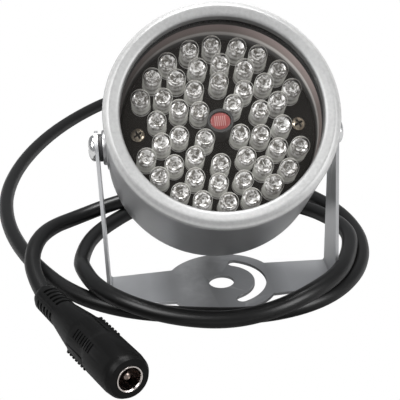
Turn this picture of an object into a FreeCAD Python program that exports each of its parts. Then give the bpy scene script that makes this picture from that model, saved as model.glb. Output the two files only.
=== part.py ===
# A round infrared illuminator with 48 LEDs on a stamped U bracket, with its lead and power jack.
# Lengths are in millimetres. The origin is the centre of the bracket's base disc, on its underside.
# +Z is up, the lamp looks towards -Y, and +X is to the right of someone facing the lamp.
# The lamp head is drawn along its own axis: local Z is the depth behind the front ring's crest.

import FreeCAD
import Part

import math
import os

V = FreeCAD.Vector

# Driving dimensions.
SIZES = {
    "rim_face_width": 4.2,
    "rim_bevel_width": 1.6,
    "rim_bevel_depth": 1.0,
    "rim_dish": 1.2,
    "rim_lip": 1.4,
    "rim_skirt_depth": 2.8,
    "rim_thread_inset": 1.5,
    "rim_thread_wall": 1.2,
    "rim_thread_depth": 8.0,
    "glass_thick": 2.0,
    "glass_clearance": 0.2,
    "glass_bevel": 0.3,
    "gasket_width": 1.05,
    "gasket_thick": 1.4,
    "gasket_clearance": 0.05,
    "housing_inset": 0.06,
    "housing_gap": 0.2,
    "housing_back": 37.1,
    "housing_ledge": 0.9,
    "housing_wall": 2.64,
    "housing_step_clearance": 0.9,
    "thread_clearance": 0.1,
    "thread_end_clearance": 0.4,
    "rear_wall": 2.5,
    "rear_edge_radius": 2.5,
    "pivot_depth": 22.85,
    "pivot_height": 44.04,
    "tilt_angle": 39.55,
    "side_boss_radius": 4.6,
    "side_boss_reach": 0.96,
    "side_boss_inward": 2.4,
    "board_front": 15.5,
    "board_thick": 1.6,
    "board_clearance": 0.3,
    "board_screw_shank": 1.22,
    "board_screw_clearance": 0.18,
    "board_screw_head": 1.9,
    "board_screw_head_height": 1.3,
    "board_screw_length": 7.0,
    "board_screw_slot": 0.55,
    "board_screw_slot_depth": 0.7,
    "standoff_radius": 2.5,
    "thread_play": 0.03,
    "led_radius": 2.42,
    "led_barrel": 6.7,
    "led_lens_height": 2.35,
    "led_gap": 0.11,
    "cell_gap": 0.23,
    "board_margin": 2.13,
    "photocell_radius": 2.28,
    "photocell_height": 7.6,
    "photocell_thick": 2.0,
    "photocell_leg_radius": 0.3,
    "photocell_leg_spread": 1.3,
    "sleeve_clearance": 0.05,
    "sleeve_wall": 0.82,
    "sleeve_overhang": 0.3,
    "resistor_radius": 1.1,
    "resistor_body": 6.0,
    "resistor_pitch": 6.0,
    "resistor_lift": 0.3,
    "resistor_offset": 7.0,
    "resistor_leg_inset": 0.7,
    "transistor_width": 10.0,
    "transistor_thick": 4.4,
    "transistor_body": 9.0,
    "transistor_lift": 3.0,
    "transistor_offset": 14.0,
    "transistor_leg_pitch": 2.54,
    "transistor_leg_width": 0.9,
    "transistor_leg_thick": 0.5,
    "plate_thick": 0.86,
    "disc_radius": 16.0,
    "disc_hole": 3.55,
    "slot_middle": 11.005,
    "slot_width": 3.25,
    "slot_half_angle": 65.0,
    "wing_join_width": 17.3,
    "arm_foot_width": 15.3,
    "arm_end_radius": 4.5,
    "bend_inner": 0.8,
    "side_screw_shank": 1.97,
    "side_screw_length": 5.6,
    "side_screw_head": 3.4,
    "side_screw_head_height": 1.85,
    "side_screw_slot": 0.85,
    "side_screw_slot_span": 3.6,
    "side_screw_slot_depth": 1.1,
    "arm_hole_clearance": 0.08,
    "washer_radius": 3.6,
    "washer_thick": 0.98,
    "washer_clearance": 0.13,
    "washer_gap": 0.02,
    "cord_radius": 2.1,
    "cord_clearance": 0.05,
    "gland_groove": 3.4,
    "gland_flange": 4.8,
    "gland_flange_thick": 1.4,
    "gland_collar": 4.6,
    "gland_collar_thick": 1.2,
    "gland_taper_start": 3.9,
    "gland_taper_end": 3.0,
    "gland_length": 12.9,
    "inner_cord_reach": 5.0,
    "core_radius": 0.6,
    "core_spread": 1.0,
    "core_spread_at_board": 3.6,
    "jack_length": 50.3,
    "jack_barrel": 5.9,
    "jack_barrel_start": 37.5,
    "jack_barrel_end": 3.3,
    "jack_mouth": 5.0,
    "jack_shoulder": 5.6,
    "jack_shoulder_at": 27.0,
    "jack_dip": 5.5,
    "jack_dip_length": 2.5,
    "jack_waist": 5.05,
    "jack_waist_at": 22.0,
    "jack_relief_start": 3.3,
    "jack_relief_end": 3.95,
    "jack_relief_length": 13.5,
    "jack_hole": 2.85,
    "jack_hole_depth": 9.5,
    "jack_hole_clearance": 0.01,
    "jack_sleeve_wall": 0.49,
    "jack_sleeve_proud": 0.25,
    "jack_insert_thick": 1.2,
    "jack_insert_clearance": 0.02,
    "jack_pin_radius": 1.0,
    "jack_pin_inset": 1.0,
    "relief_slot_start": 3.5,
    "relief_slot_pitch": 2.1,
    "relief_slot_width": 1.0,
    "relief_web": 2.5,
    "grip_start": 23.2,
    "grip_pitch": 1.68,
    "grip_width": 0.8,
    "grip_height": 6.0,
    "grip_depth": 0.5,
    "panel_start": 29.5,
    "panel_pitch": 1.3,
    "panel_groove": 0.6,
    "panel_width": 2.6,
    "panel_depth": 0.3,
}

# Counts and angles of the patterns.
RELIEF_SLOTS = 5
GRIP_NOTCHES = 7
PANEL_GROOVES = 8
RESISTORS = 4
LED_FACETS = 12
OUTER_STEP_ANGLE = 17.05
SECOND_ROW_ANGLE = 83.7
THIRD_ROW_ANGLE = 85.7
INNER_ROW_ANGLES = [49.1, -33.9, -135.9, 146.1]
CROSS_ANGLES = (20, 110)
JACK_ROLL_ANGLE = 46

# Curved outlines as shares: (of the width, of the height), in order from the wide end.
DISH_CURVE = ((0.08, 0.46), (0.29, 0.21))
LENS_CURVE = ((1.0, 0.0), (0.76, 0.68), (0.36, 1.0))
HEAD_CURVE = ((1.0, 0.28), (0.93, 0.58), (0.74, 0.84), (0.42, 0.97), (0.0, 1.0))
MOUTH_CURVE = (0.7, 0.33)
RELIEF_CURVE = (0.96, 0.12)
CORE_CURVE = ((0.0, 0.26), (0.85, 0.53))

# An arc takes this share of the shorter run beside a corner of the cord's route.
ARC_SHARE = 0.45
# Joined solids reach this far into each other, and a bore this far beyond its screw.
JOIN_DEPTH = 0.2
SPARE_DEPTH = 1.0

doc = FreeCAD.newDocument("InfraredIlluminator")
sheet = doc.addObject("Spreadsheet::Sheet", "Sizes")
for row, (alias, value) in enumerate(SIZES.items(), start=1):
    cell = "A%d" % row
    sheet.set(cell, str(value))
    sheet.setAlias(cell, alias)
doc.recompute()


def val(alias):
    return float(sheet.getContents(sheet.getCellFromAlias(alias)))


# The LED rows are packed outwards from the light sensor, and the head is built round them.
LED_PITCH = 2 * val("led_radius") + val("led_gap")
SLEEVE_BORE = val("photocell_radius") + val("sleeve_clearance")
SLEEVE_RADIUS = SLEEVE_BORE + val("sleeve_wall")
INNER_ROW = SLEEVE_RADIUS + val("cell_gap") + val("led_radius")
THIRD_ROW = INNER_ROW + LED_PITCH
SECOND_ROW = THIRD_ROW + LED_PITCH
OUTER_ROW = SECOND_ROW + LED_PITCH
FRONT_BORE = OUTER_ROW + val("led_radius") + val("board_margin")
GLASS_RADIUS = FRONT_BORE + val("housing_ledge")
THREAD_BORE = GLASS_RADIUS + val("glass_clearance")
THREAD_RADIUS = THREAD_BORE + val("rim_thread_wall")
RIM_RADIUS = THREAD_RADIUS + val("rim_thread_inset")
RIM_INNER = RIM_RADIUS - val("rim_face_width")
HOUSING_RADIUS = RIM_RADIUS - val("housing_inset")
REAR_BORE = HOUSING_RADIUS - val("housing_wall")

# Depths behind the ring's crest.
LIP_DEPTH = val("rim_dish") + val("rim_lip")
GLASS_BACK = LIP_DEPTH + val("glass_thick")
SEAT_DEPTH = GLASS_BACK + val("gasket_thick")
HOUSING_FRONT = val("rim_skirt_depth") + val("housing_gap")
HOUSING_BACK = val("housing_back")
WALL_FRONT = HOUSING_BACK - val("rear_wall")
BOARD_FRONT = val("board_front")
BOARD_BACK = BOARD_FRONT + val("board_thick")
GLAND_END = HOUSING_BACK + val("gland_length")
INNER_CORD_START = WALL_FRONT - val("inner_cord_reach")

# Distances from the middle of the lamp, along the pivot's axis.
BOSS_OUT = HOUSING_RADIUS + val("side_boss_reach")
BOSS_IN = REAR_BORE - val("side_boss_inward")
ARM_INNER = BOSS_OUT + val("washer_thick") + val("washer_gap")
ARM_OUTER = ARM_INNER + val("plate_thick")
PIVOT = V(0, 0, val("pivot_height"))

# The head's axis leans back from the lamp's face: OUTWARD points out of the window.
LEAN = math.radians(val("tilt_angle"))
OUTWARD = V(0, -math.cos(LEAN), math.sin(LEAN))
HEAD_TURN = FreeCAD.Rotation(V(1, 0, 0), -90 - val("tilt_angle"))
HEAD = FreeCAD.Placement(PIVOT + OUTWARD * val("pivot_depth"), HEAD_TURN)

# The jack lies on the floor. Its axis runs from the cord's end to the mouth.
JACK_REAR = V(-48.69, -5.67, 4.15)
JACK_AXIS = V(0.4266, -0.9026, 0.0571)
JACK_SIDE = V(0.9041, 0.4273, 0)
JACK_LEVEL = FreeCAD.Rotation(JACK_SIDE, JACK_AXIS.cross(JACK_SIDE), JACK_AXIS, "ZXY")
JACK_TURN = JACK_LEVEL.multiply(FreeCAD.Rotation(V(0, 0, 1), JACK_ROLL_ANGLE))
JACK = FreeCAD.Placement(JACK_REAR, JACK_TURN)

NO_TURN = FreeCAD.Rotation()
SIDES = ((-1, "Left"), (1, "Right"))

parts = []


# A sub-part is kept under its node name.
def keep(obj, label):
    obj.Label = label
    parts.append(obj)


def at(place, x, y, z, turn=NO_TURN):
    return place.multiply(FreeCAD.Placement(V(x, y, z), turn))


def origin_feature(body, role):
    for feature in body.Origin.OriginFeatures:
        if feature.Role == role:
            return feature
    raise ValueError(role)


def new_sketch(body, name):
    sketch = body.newObject("Sketcher::SketchObject", name)
    sketch.AttachmentSupport = [(origin_feature(body, "XZ_Plane"), "")]
    sketch.MapMode = "FlatFace"
    return sketch


# A turned body: its outline is given as (radius, depth) pairs and goes round local Z.
def turned(name, corners, place):
    body = doc.addObject("PartDesign::Body", name)
    body.Placement = place
    sketch = new_sketch(body, name + "Profile")
    for (r1, z1), (r2, z2) in zip(corners, corners[1:] + corners[:1]):
        sketch.addGeometry(Part.LineSegment(V(r1, z1, 0), V(r2, z2, 0)), False)
    doc.recompute()
    spin = body.newObject("PartDesign::Revolution", name + "Turn")
    spin.Profile = sketch
    spin.ReferenceAxis = (origin_feature(body, "Z_Axis"), "")
    spin.Angle = 360
    body.Tip = spin
    doc.recompute()
    return body


def cylinder(name, radius, height, place):
    obj = doc.addObject("Part::Cylinder", name)
    obj.Placement = place
    obj.setExpression("Radius", radius)
    if isinstance(height, str):
        obj.setExpression("Height", height)
    else:
        obj.Height = height
    return obj


def box(name, length, width, height, place):
    obj = doc.addObject("Part::Box", name)
    obj.Length = length
    obj.Width = width
    obj.Height = height
    obj.Placement = place
    return obj


def cut(name, base, tool):
    obj = doc.addObject("Part::Cut", name)
    obj.Base = base
    obj.Tool = tool
    return obj


def fuse(name, shapes):
    obj = doc.addObject("Part::MultiFuse", name)
    obj.Shapes = shapes
    return obj


# The bright screwed ring: a dished face between a fine inner edge and an outer bevel.
def front_ring():
    dish = val("rim_dish")
    skirt = val("rim_skirt_depth")
    corners = [(RIM_INNER, dish)]
    corners += [(RIM_INNER + across * val("rim_face_width"), down * dish) for across, down in DISH_CURVE]
    corners += [
        (RIM_RADIUS - val("rim_bevel_width"), 0),
        (RIM_RADIUS, val("rim_bevel_depth")),
        (RIM_RADIUS, skirt),
        (THREAD_RADIUS, skirt),
        (THREAD_RADIUS, val("rim_thread_depth")),
        (THREAD_BORE, val("rim_thread_depth")),
        (THREAD_BORE, LIP_DEPTH),
        (RIM_INNER, LIP_DEPTH),
    ]
    keep(turned("FrontRing", corners, HEAD), "front_ring")


def front_glass():
    bevel = val("glass_bevel")
    corners = [
        (0, LIP_DEPTH),
        (GLASS_RADIUS - bevel, LIP_DEPTH),
        (GLASS_RADIUS, LIP_DEPTH + bevel),
        (GLASS_RADIUS, GLASS_BACK - bevel),
        (GLASS_RADIUS - bevel, GLASS_BACK),
        (0, GLASS_BACK),
    ]
    keep(turned("FrontGlass", corners, HEAD), "front_glass")


def glass_gasket():
    outer = GLASS_RADIUS - val("gasket_clearance")
    inner = outer - val("gasket_width")
    corners = [(inner, GLASS_BACK), (outer, GLASS_BACK), (outer, SEAT_DEPTH), (inner, SEAT_DEPTH)]
    keep(turned("GlassGasket", corners, HEAD), "glass_gasket")


# The cup of the lamp body: a socket for the ring's thread, a seat for the gasket and a rear wall.
def housing_cup():
    socket = THREAD_RADIUS + val("thread_clearance")
    socket_end = val("rim_thread_depth") + val("thread_end_clearance")
    step = BOARD_BACK + val("housing_step_clearance")
    corners = [
        (FRONT_BORE, SEAT_DEPTH),
        (GLASS_RADIUS, SEAT_DEPTH),
        (GLASS_RADIUS, socket_end),
        (socket, socket_end),
        (socket, HOUSING_FRONT),
        (HOUSING_RADIUS, HOUSING_FRONT),
        (HOUSING_RADIUS, HOUSING_BACK),
        (val("gland_groove"), HOUSING_BACK),
        (val("gland_groove"), WALL_FRONT),
        (REAR_BORE, WALL_FRONT),
        (REAR_BORE, step),
        (FRONT_BORE, step),
    ]
    body = turned("HousingCup", corners, HEAD)
    cup = body.Tip
    rear_edges = []
    for number, edge in enumerate(cup.Shape.Edges, start=1):
        reach = edge.BoundBox
        at_back = abs(reach.ZMin - HOUSING_BACK) < 0.01
        if edge.Closed and at_back and reach.XMax > HOUSING_RADIUS - 0.01:
            rear_edges.append("Edge%d" % number)
    rounding = body.newObject("PartDesign::Fillet", "HousingRearEdge")
    rounding.Base = (cup, rear_edges)
    rounding.setExpression("Radius", "Sizes.rear_edge_radius")
    body.Tip = rounding
    doc.recompute()
    return body


# The lamp body with a tapped boss on each side, in line with the pivot.
def housing():
    solids = [housing_cup()]
    taps = []
    for side, tag in SIDES:
        turn = FreeCAD.Rotation(V(0, 1, 0), 90 * side)
        place = at(HEAD, side * BOSS_IN, 0, val("pivot_depth"), turn)
        solids.append(cylinder("Boss" + tag, "Sizes.side_boss_radius", BOSS_OUT - BOSS_IN, place))
        bore = "Sizes.side_screw_shank + Sizes.thread_play"
        taps.append(cylinder("Tap" + tag, bore, BOSS_OUT - BOSS_IN, place))
    keep(cut("Housing", fuse("HousingWithBosses", solids), fuse("Taps", taps)), "housing")


def led_board():
    radius = FRONT_BORE - val("board_clearance")
    corners = [(0, BOARD_FRONT), (radius, BOARD_FRONT), (radius, BOARD_BACK), (0, BOARD_BACK)]
    disc = turned("BoardDisc", corners, HEAD)
    holes = []
    for side, tag in SIDES:
        place = at(HEAD, side * OUTER_ROW, 0, BOARD_FRONT)
        bore = "Sizes.board_screw_shank + Sizes.board_screw_clearance"
        holes.append(cylinder("BoardHole" + tag, bore, "Sizes.board_thick", place))
    keep(cut("LedBoard", disc, fuse("BoardHoles", holes)), "led_board")


# One LED as a facetted solid: a barrel and a lens drawn in with two tapers.
def led_shape():
    def ring(r, z):
        loop = []
        for i in range(LED_FACETS + 1):
            a = 2 * math.pi * (i + 0.5) / LED_FACETS
            loop.append(V(r * math.cos(a), r * math.sin(a), z))
        return Part.makePolygon(loop)

    radius = val("led_radius")
    shoulder = BOARD_FRONT - val("led_barrel")
    lens = val("led_lens_height")
    stages = [ring(radius, BOARD_FRONT)]
    stages += [ring(radius * across, shoulder - lens * up) for across, up in LENS_CURVE]
    return Part.makeLoft(stages, True, True)


def led_row(label, radius, angles):
    pattern = led_shape()
    solids = []
    for angle in angles:
        t = math.radians(angle)
        solids.append(pattern.translated(V(radius * math.cos(t), -radius * math.sin(t), 0)))
    obj = doc.addObject("Part::Feature", label.title().replace("_", ""))
    obj.Shape = Part.makeCompound(solids)
    obj.Placement = HEAD
    keep(obj, label)


# Four rings of LEDs. The outer ring leaves a gap on each side for the board's screws.
def leds():
    outer = [middle + OUTER_STEP_ANGLE * k for middle in (90, -90) for k in range(-4, 5)]
    led_row("led_row_outer", OUTER_ROW, outer)
    led_row("led_row_second", SECOND_ROW, [SECOND_ROW_ANGLE + 22.5 * k for k in range(16)])
    led_row("led_row_third", THIRD_ROW, [THIRD_ROW_ANGLE + 36 * k for k in range(10)])
    led_row("led_row_inner", INNER_ROW, INNER_ROW_ANGLES)


# The light sensor in the middle of the board: a disc on two wire legs, in a dark sleeve.
def photocell():
    front = BOARD_FRONT - val("photocell_height")
    disc = cylinder("CellDisc", "Sizes.photocell_radius", "Sizes.photocell_thick", at(HEAD, 0, 0, front))
    solids = [disc]
    leg = "Sizes.photocell_height - Sizes.photocell_thick"
    for side, tag in SIDES:
        place = at(HEAD, side * val("photocell_leg_spread"), 0, front + val("photocell_thick"))
        solids.append(cylinder("CellLeg" + tag, "Sizes.photocell_leg_radius", leg, place))
    keep(fuse("Photocell", solids), "photocell")
    start = front - val("sleeve_overhang")
    corners = [
        (SLEEVE_BORE, start),
        (SLEEVE_RADIUS, start),
        (SLEEVE_RADIUS, BOARD_FRONT),
        (SLEEVE_BORE, BOARD_FRONT),
    ]
    keep(turned("CellSleeve", corners, HEAD), "photocell_sleeve")


# A cross recess as two crossed bars, to be cut from a screw head.
def cross_bars(name, span, width, depth, place):
    bars = []
    for i, angle in enumerate(CROSS_ANGLES):
        turn = FreeCAD.Rotation(V(0, 0, 1), angle)
        corner = at(at(place, 0, 0, 0, turn), -span / 2, -width / 2, 0)
        bars.append(box("%sBar%d" % (name, i), span, width, depth, corner))
    return fuse(name, bars)


def board_screws():
    head_front = BOARD_FRONT - val("board_screw_head_height")
    sunk = val("board_screw_slot_depth")
    solids = []
    crosses = []
    for side, tag in SIDES:
        place = at(HEAD, side * OUTER_ROW, 0, head_front)
        head = cylinder("PanHead" + tag, "Sizes.board_screw_head", "Sizes.board_screw_head_height", place)
        seat = at(HEAD, side * OUTER_ROW, 0, BOARD_FRONT - JOIN_DEPTH)
        shank = cylinder("PanShank" + tag, "Sizes.board_screw_shank", "Sizes.board_screw_length", seat)
        solids += [head, shank]
        span = 1.26 * val("board_screw_head")
        above = at(place, 0, 0, -sunk)
        crosses.append(cross_bars("PanCross" + tag, span, val("board_screw_slot"), 2 * sunk, above))
    keep(cut("BoardScrews", fuse("PanBlanks", solids), fuse("PanCrosses", crosses)), "board_screws")


# Two hexagonal pillars between the board and the rear wall of the housing.
def board_standoffs():
    solids = []
    for side, tag in SIDES:
        hexagon = doc.addObject("Part::Prism", "Pillar" + tag)
        hexagon.Polygon = 6
        hexagon.setExpression("Circumradius", "Sizes.standoff_radius")
        hexagon.Height = WALL_FRONT - BOARD_BACK
        hexagon.Placement = at(HEAD, side * OUTER_ROW, 0, BOARD_BACK)
        bore = "Sizes.board_screw_shank + Sizes.thread_play"
        depth = val("board_screw_length") + SPARE_DEPTH
        drill = cylinder("PillarBore" + tag, bore, depth, hexagon.Placement)
        solids.append(cut("PillarBored" + tag, hexagon, drill))
    keep(fuse("BoardStandoffs", solids), "board_standoffs")


# Resistors lying on the back of the board, each a barrel on two short legs.
def board_resistors():
    lie_down = FreeCAD.Rotation(V(1, 0, 0), -90)
    body = val("resistor_body")
    lift = val("resistor_lift") + val("resistor_radius")
    near = val("resistor_offset")
    inset = val("resistor_leg_inset")
    solids = []
    for i in range(RESISTORS):
        x = (i - (RESISTORS - 1) / 2) * val("resistor_pitch")
        place = at(HEAD, x, near, BOARD_BACK + lift, lie_down)
        solids.append(cylinder("Resistor%d" % i, "Sizes.resistor_radius", "Sizes.resistor_body", place))
        for k, y in enumerate((near + inset, near + body - inset)):
            leg = at(HEAD, x, y, BOARD_BACK)
            solids.append(cylinder("ResistorLeg%d%d" % (i, k), "Sizes.photocell_leg_radius", lift, leg))
    keep(fuse("BoardResistors", solids), "board_resistors")


# The switching transistor: a block standing off the back of the board on three legs.
def board_transistor():
    width = val("transistor_width")
    thick = val("transistor_thick")
    lift = val("transistor_lift")
    low = -val("transistor_offset")
    corner = at(HEAD, -width / 2, low, BOARD_BACK + lift)
    solids = [box("TransistorBlock", width, thick, val("transistor_body"), corner)]
    leg_width = val("transistor_leg_width")
    leg_thick = val("transistor_leg_thick")
    for i in (-1, 0, 1):
        x = i * val("transistor_leg_pitch") - leg_width / 2
        place = at(HEAD, x, low + thick / 2, BOARD_BACK)
        solids.append(box("TransistorLeg%d" % (i + 1), leg_width, leg_thick, lift + JOIN_DEPTH, place))
    keep(fuse("BoardTransistor", solids), "board_transistor")


# A tube round a hand-picked route: straight runs joined by tangent arcs.
def tube_along(points, radius, title):
    edges = []
    cursor = points[0]
    tightest = 1000.0
    for before, corner, after in zip(points, points[1:], points[2:]):
        into = corner - before
        out = after - corner
        turn = into.getAngle(out)
        reach = ARC_SHARE * min(into.Length, out.Length)
        bend = reach / math.tan(turn / 2)
        tightest = min(tightest, bend)
        start = corner - into.normalize() * reach
        end = corner + out.normalize() * reach
        toward = (start + end - corner * 2).normalize()
        middle = corner + toward * (bend / math.cos(turn / 2) - bend)
        edges.append(Part.LineSegment(cursor, start).toShape())
        edges.append(Part.Arc(start, middle, end).toShape())
        cursor = end
    edges.append(Part.LineSegment(cursor, points[-1]).toShape())
    wire = Part.Wire(edges)
    ring = Part.Wire([Part.Circle(points[0], points[1] - points[0], radius).toShape()])
    tube = wire.makePipeShell([ring], True, False)
    expected = math.pi * radius ** 2 * wire.Length
    print(title, "length", round(wire.Length, 1), "tightest bend", round(tightest, 1))
    print(title, "volume against section times length", round(tube.Volume / expected, 4))
    return tube


# The cord leaves the gland and drops over its own loops, to the floor behind the lamp.
DROP_END = V(3.25, 91.25, 4)
DROP_ROUTE = [
    HEAD.multVec(V(0, 0, GLAND_END)),
    V(0, 30.2, 19.1),
    V(0.3, 42, 12.2),
    V(0.5, 55, 8.3),
    V(0.6, 69.5, 7.6),
    V(1.5, 84, 5.4),
    DROP_END,
]

# The rest lies on the floor: the far bend, the left side, twice past the front and round behind
# the lamp, and out over the left to the jack.
FLOOR_ROUTE = [
    DROP_END,
    V(5, 98.5, 2.6),
    V(10, 112.5, 2.1),
    V(13.5, 127.5, 2.1),
    V(11, 143.5, 2.1),
    V(1, 155, 2.1),
    V(-13.4, 159.3, 2.1),
    V(-27.8, 155, 2.1),
    V(-38, 143.7, 2.1),
    V(-48.8, 127.4, 2.1),
    V(-57, 109.3, 2.1),
    V(-62.6, 90, 2.1),
    V(-65, 70.5, 2.1),
    V(-63.6, 52, 2.1),
    V(-58.8, 33, 2.1),
    V(-51, 14, 2.1),
    V(-41.2, -3, 2.1),
    V(-27.8, -14.2, 2.1),
    V(-10, -19.4, 2.1),
    V(8.5, -21.8, 2.1),
    V(24, -17.8, 2.1),
    V(35.4, -8.8, 2.1),
    V(42.6, 4.4, 2.1),
    V(44.8, 19.5, 2.1),
    V(42.6, 34.5, 2.1),
    V(36.8, 47.5, 2.1),
    V(28, 60, 2.1),
    V(13.5, 67.2, 2.1),
    V(-2, 64.8, 2.1),
    V(-15, 55.5, 2.1),
    V(-26.5, 45, 2.1),
    V(-37, 31.5, 2.1),
    V(-40.4, 16, 2.1),
    V(-38.9, 3.4, 4.4),
    V(-35.2, -8.2, 6.8),
    V(-26.5, -17.9, 6.8),
    V(-14.5, -23.3, 5.3),
    V(0, -26, 4.6),
    V(13, -24.4, 5.6),
    V(24.4, -18.9, 6.8),
    V(33.6, -10.1, 6.8),
    V(38, 2.6, 5.4),
    V(39.9, 16, 4.9),
    V(36.6, 29.5, 3.2),
    V(29, 43.5, 2.1),
    V(15.5, 52.3, 2.1),
    V(0, 54.2, 2.7),
    V(-13, 53.2, 6.6),
    V(-25, 51.4, 6.3),
    V(-36, 49, 3.8),
    V(-46.2, 42.6, 4.4),
    V(-53.2, 32.2, 6.9),
    V(-55.8, 20, 6.5),
    V(-54.3, 6.2, 3.3),
    JACK_REAR,
]


def lead():
    for label, route in (("lead_drop", DROP_ROUTE), ("lead", FLOOR_ROUTE)):
        obj = doc.addObject("Part::Feature", label.title().replace("_", ""))
        obj.Shape = tube_along(route, val("cord_radius"), label)
        keep(obj, label)


# The rubber gland: a flange inside the rear wall, a collar outside, and a taper to the cord.
def cord_grommet():
    bore = val("cord_radius") + val("cord_clearance")
    flange_start = WALL_FRONT - val("gland_flange_thick")
    collar_end = HOUSING_BACK + val("gland_collar_thick")
    corners = [
        (bore, flange_start),
        (val("gland_flange"), flange_start),
        (val("gland_flange"), WALL_FRONT),
        (val("gland_groove"), WALL_FRONT),
        (val("gland_groove"), HOUSING_BACK),
        (val("gland_collar"), HOUSING_BACK),
        (val("gland_collar"), collar_end),
        (val("gland_taper_start"), collar_end),
        (val("gland_taper_end"), GLAND_END),
        (bore, GLAND_END),
    ]
    keep(turned("CordGrommet", corners, HEAD), "cord_grommet")


# The end of the cord inside the gland, and its two cores up to the board.
def inner_cord():
    place = at(HEAD, 0, 0, INNER_CORD_START)
    keep(cylinder("InnerCord", "Sizes.cord_radius", GLAND_END - INNER_CORD_START, place), "inner_cord")
    spread = val("core_spread")
    wide = val("core_spread_at_board")
    reach = INNER_CORD_START - BOARD_BACK
    for side, label in ((-1, "core_wire_red"), (1, "core_wire_black")):
        route = [V(side * spread, 0, INNER_CORD_START)]
        for across, along in CORE_CURVE:
            x = spread + across * (wide - spread)
            route.append(V(side * x, 0, INNER_CORD_START - along * reach))
        route.append(V(side * wide, 0, BOARD_BACK))
        wire = doc.addObject("Part::Feature", label.title().replace("_", ""))
        wire.Shape = tube_along(route, val("core_radius"), label)
        wire.Placement = HEAD
        keep(wire, label)


# The fold of the bracket seen from the front: base, two bends and two upright arms.
def bracket_fold(top, depth):
    thick = val("plate_thick")
    bend = val("bend_inner")
    outer_bend = bend + thick
    cx = ARM_INNER - bend
    cz = outer_bend
    slant = math.sqrt(0.5)
    inner_slant = bend * slant
    outer_slant = outer_bend * slant
    body = doc.addObject("PartDesign::Body", "BracketStrip")
    sketch = new_sketch(body, "BracketFold")
    fold = [
        Part.LineSegment(V(-cx, 0, 0), V(cx, 0, 0)),
        Part.Arc(V(cx, 0, 0), V(cx + outer_slant, cz - outer_slant, 0), V(ARM_OUTER, cz, 0)),
        Part.LineSegment(V(ARM_OUTER, cz, 0), V(ARM_OUTER, top, 0)),
        Part.LineSegment(V(ARM_OUTER, top, 0), V(ARM_INNER, top, 0)),
        Part.LineSegment(V(ARM_INNER, top, 0), V(ARM_INNER, cz, 0)),
        Part.Arc(V(ARM_INNER, cz, 0), V(cx + inner_slant, cz - inner_slant, 0), V(cx, thick, 0)),
        Part.LineSegment(V(cx, thick, 0), V(-cx, thick, 0)),
        Part.Arc(V(-cx, thick, 0), V(-cx - inner_slant, cz - inner_slant, 0), V(-ARM_INNER, cz, 0)),
        Part.LineSegment(V(-ARM_INNER, cz, 0), V(-ARM_INNER, top, 0)),
        Part.LineSegment(V(-ARM_INNER, top, 0), V(-ARM_OUTER, top, 0)),
        Part.LineSegment(V(-ARM_OUTER, top, 0), V(-ARM_OUTER, cz, 0)),
        Part.Arc(V(-ARM_OUTER, cz, 0), V(-cx - outer_slant, cz - outer_slant, 0), V(-cx, 0, 0)),
    ]
    for line in fold:
        sketch.addGeometry(line, False)
    doc.recompute()
    pad = body.newObject("PartDesign::Pad", "BracketWidth")
    pad.Profile = sketch
    pad.Length = depth
    pad.Midplane = True
    body.Tip = pad
    doc.recompute()
    return body


# The bracket from above: the disc, and wings that narrow towards the bends.
def bracket_plan(far, low, top):
    foot = val("arm_foot_width") / 2
    join_y = val("wing_join_width") / 2
    join_x = math.sqrt(val("disc_radius") ** 2 - join_y ** 2)
    quarter = [(join_x, join_y), (ARM_INNER, foot), (far, foot)]
    corners = [V(x, y, low) for x, y in quarter]
    corners += [V(x, -y, low) for x, y in reversed(quarter)]
    corners += [V(-x, -y, low) for x, y in quarter]
    corners += [V(-x, y, low) for x, y in reversed(quarter)]
    wings = doc.addObject("Part::Feature", "BracketWings")
    wings.Shape = Part.Face(Part.makePolygon(corners + corners[:1])).extrude(V(0, 0, top - low))
    disc = cylinder("BracketDisc", "Sizes.disc_radius", top - low, FreeCAD.Placement(V(0, 0, low), NO_TURN))
    return fuse("BracketPlan", [wings, disc])


# The arms from the side: each narrows from its foot to a round top about the pivot.
def bracket_side(far, low, half_depth):
    foot = val("arm_foot_width") / 2
    end = val("arm_end_radius")
    height = val("pivot_height")
    bend_top = val("bend_inner") + val("plate_thick")
    lean = math.asin((foot - end) / (height - bend_top))
    touch_y = end * math.cos(lean)
    touch_z = height + end * math.sin(lean)
    arc = Part.Arc(V(-far, touch_y, touch_z), V(-far, 0, height + end), V(-far, -touch_y, touch_z))
    lower = [
        V(-far, -touch_y, touch_z),
        V(-far, -foot, bend_top),
        V(-far, -half_depth, bend_top),
        V(-far, -half_depth, low),
        V(-far, half_depth, low),
        V(-far, half_depth, bend_top),
        V(-far, foot, bend_top),
        V(-far, touch_y, touch_z),
    ]
    outline = Part.Wire([arc.toShape()] + Part.makePolygon(lower).Edges)
    obj = doc.addObject("Part::Feature", "BracketSide")
    obj.Shape = Part.Face(outline).extrude(V(2 * far, 0, 0))
    return obj


def curved_slot(low, height):
    middle = val("slot_middle")
    half = val("slot_width") / 2
    inner = middle - half
    outer = middle + half
    a = math.radians(val("slot_half_angle"))
    over = a + half / middle

    def spot(r, angle):
        return V(r * math.cos(angle), r * math.sin(angle), low)

    edges = [
        Part.Arc(spot(inner, -a), spot(inner, 0), spot(inner, a)).toShape(),
        Part.Arc(spot(inner, a), spot(middle, over), spot(outer, a)).toShape(),
        Part.Arc(spot(outer, a), spot(outer, 0), spot(outer, -a)).toShape(),
        Part.Arc(spot(outer, -a), spot(middle, -over), spot(inner, -a)).toShape(),
    ]
    obj = doc.addObject("Part::Feature", "CurvedSlot")
    obj.Shape = Part.Face(Part.Wire(edges)).extrude(V(0, 0, height))
    return obj


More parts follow.
